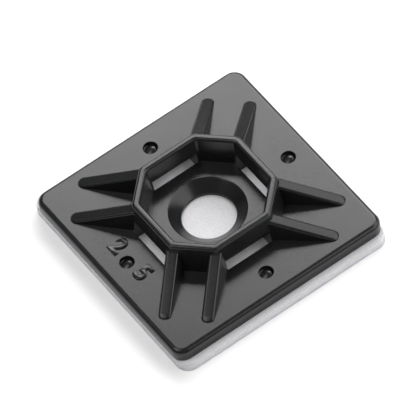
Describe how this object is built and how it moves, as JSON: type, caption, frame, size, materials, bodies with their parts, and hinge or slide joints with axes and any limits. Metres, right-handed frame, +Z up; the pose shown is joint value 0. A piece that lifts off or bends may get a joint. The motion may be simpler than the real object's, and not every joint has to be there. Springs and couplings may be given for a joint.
{
  "type": "cable tie mount",
  "caption": "Square self-adhesive mount with a raised eight-sided collar, tie slots on all sides and a countersunk screw hole.",
  "frame": {"origin": "bottom centre: on the underside of the release liner, under the axis of the screw hole", "axes": "+Z up along the screw hole, away from the surface that the mount is stuck to; the plate's sides face +X, -X, +Y and -Y, and the foam pad runs past the plate at +Y and -Y"},
  "size_m": [0.028, 0.0296, 0.0063],
  "materials": {
    "body": "satin moulded nylon, black",
    "foam": "white closed-cell foam tape, adhesive on both faces",
    "liner": "pale blue release paper, slightly glossy"
  },
  "bodies": {
    "root": {"mount_body": "body", "foam_pad": "foam", "release_liner": "liner"}
  },
  "joints": []
}
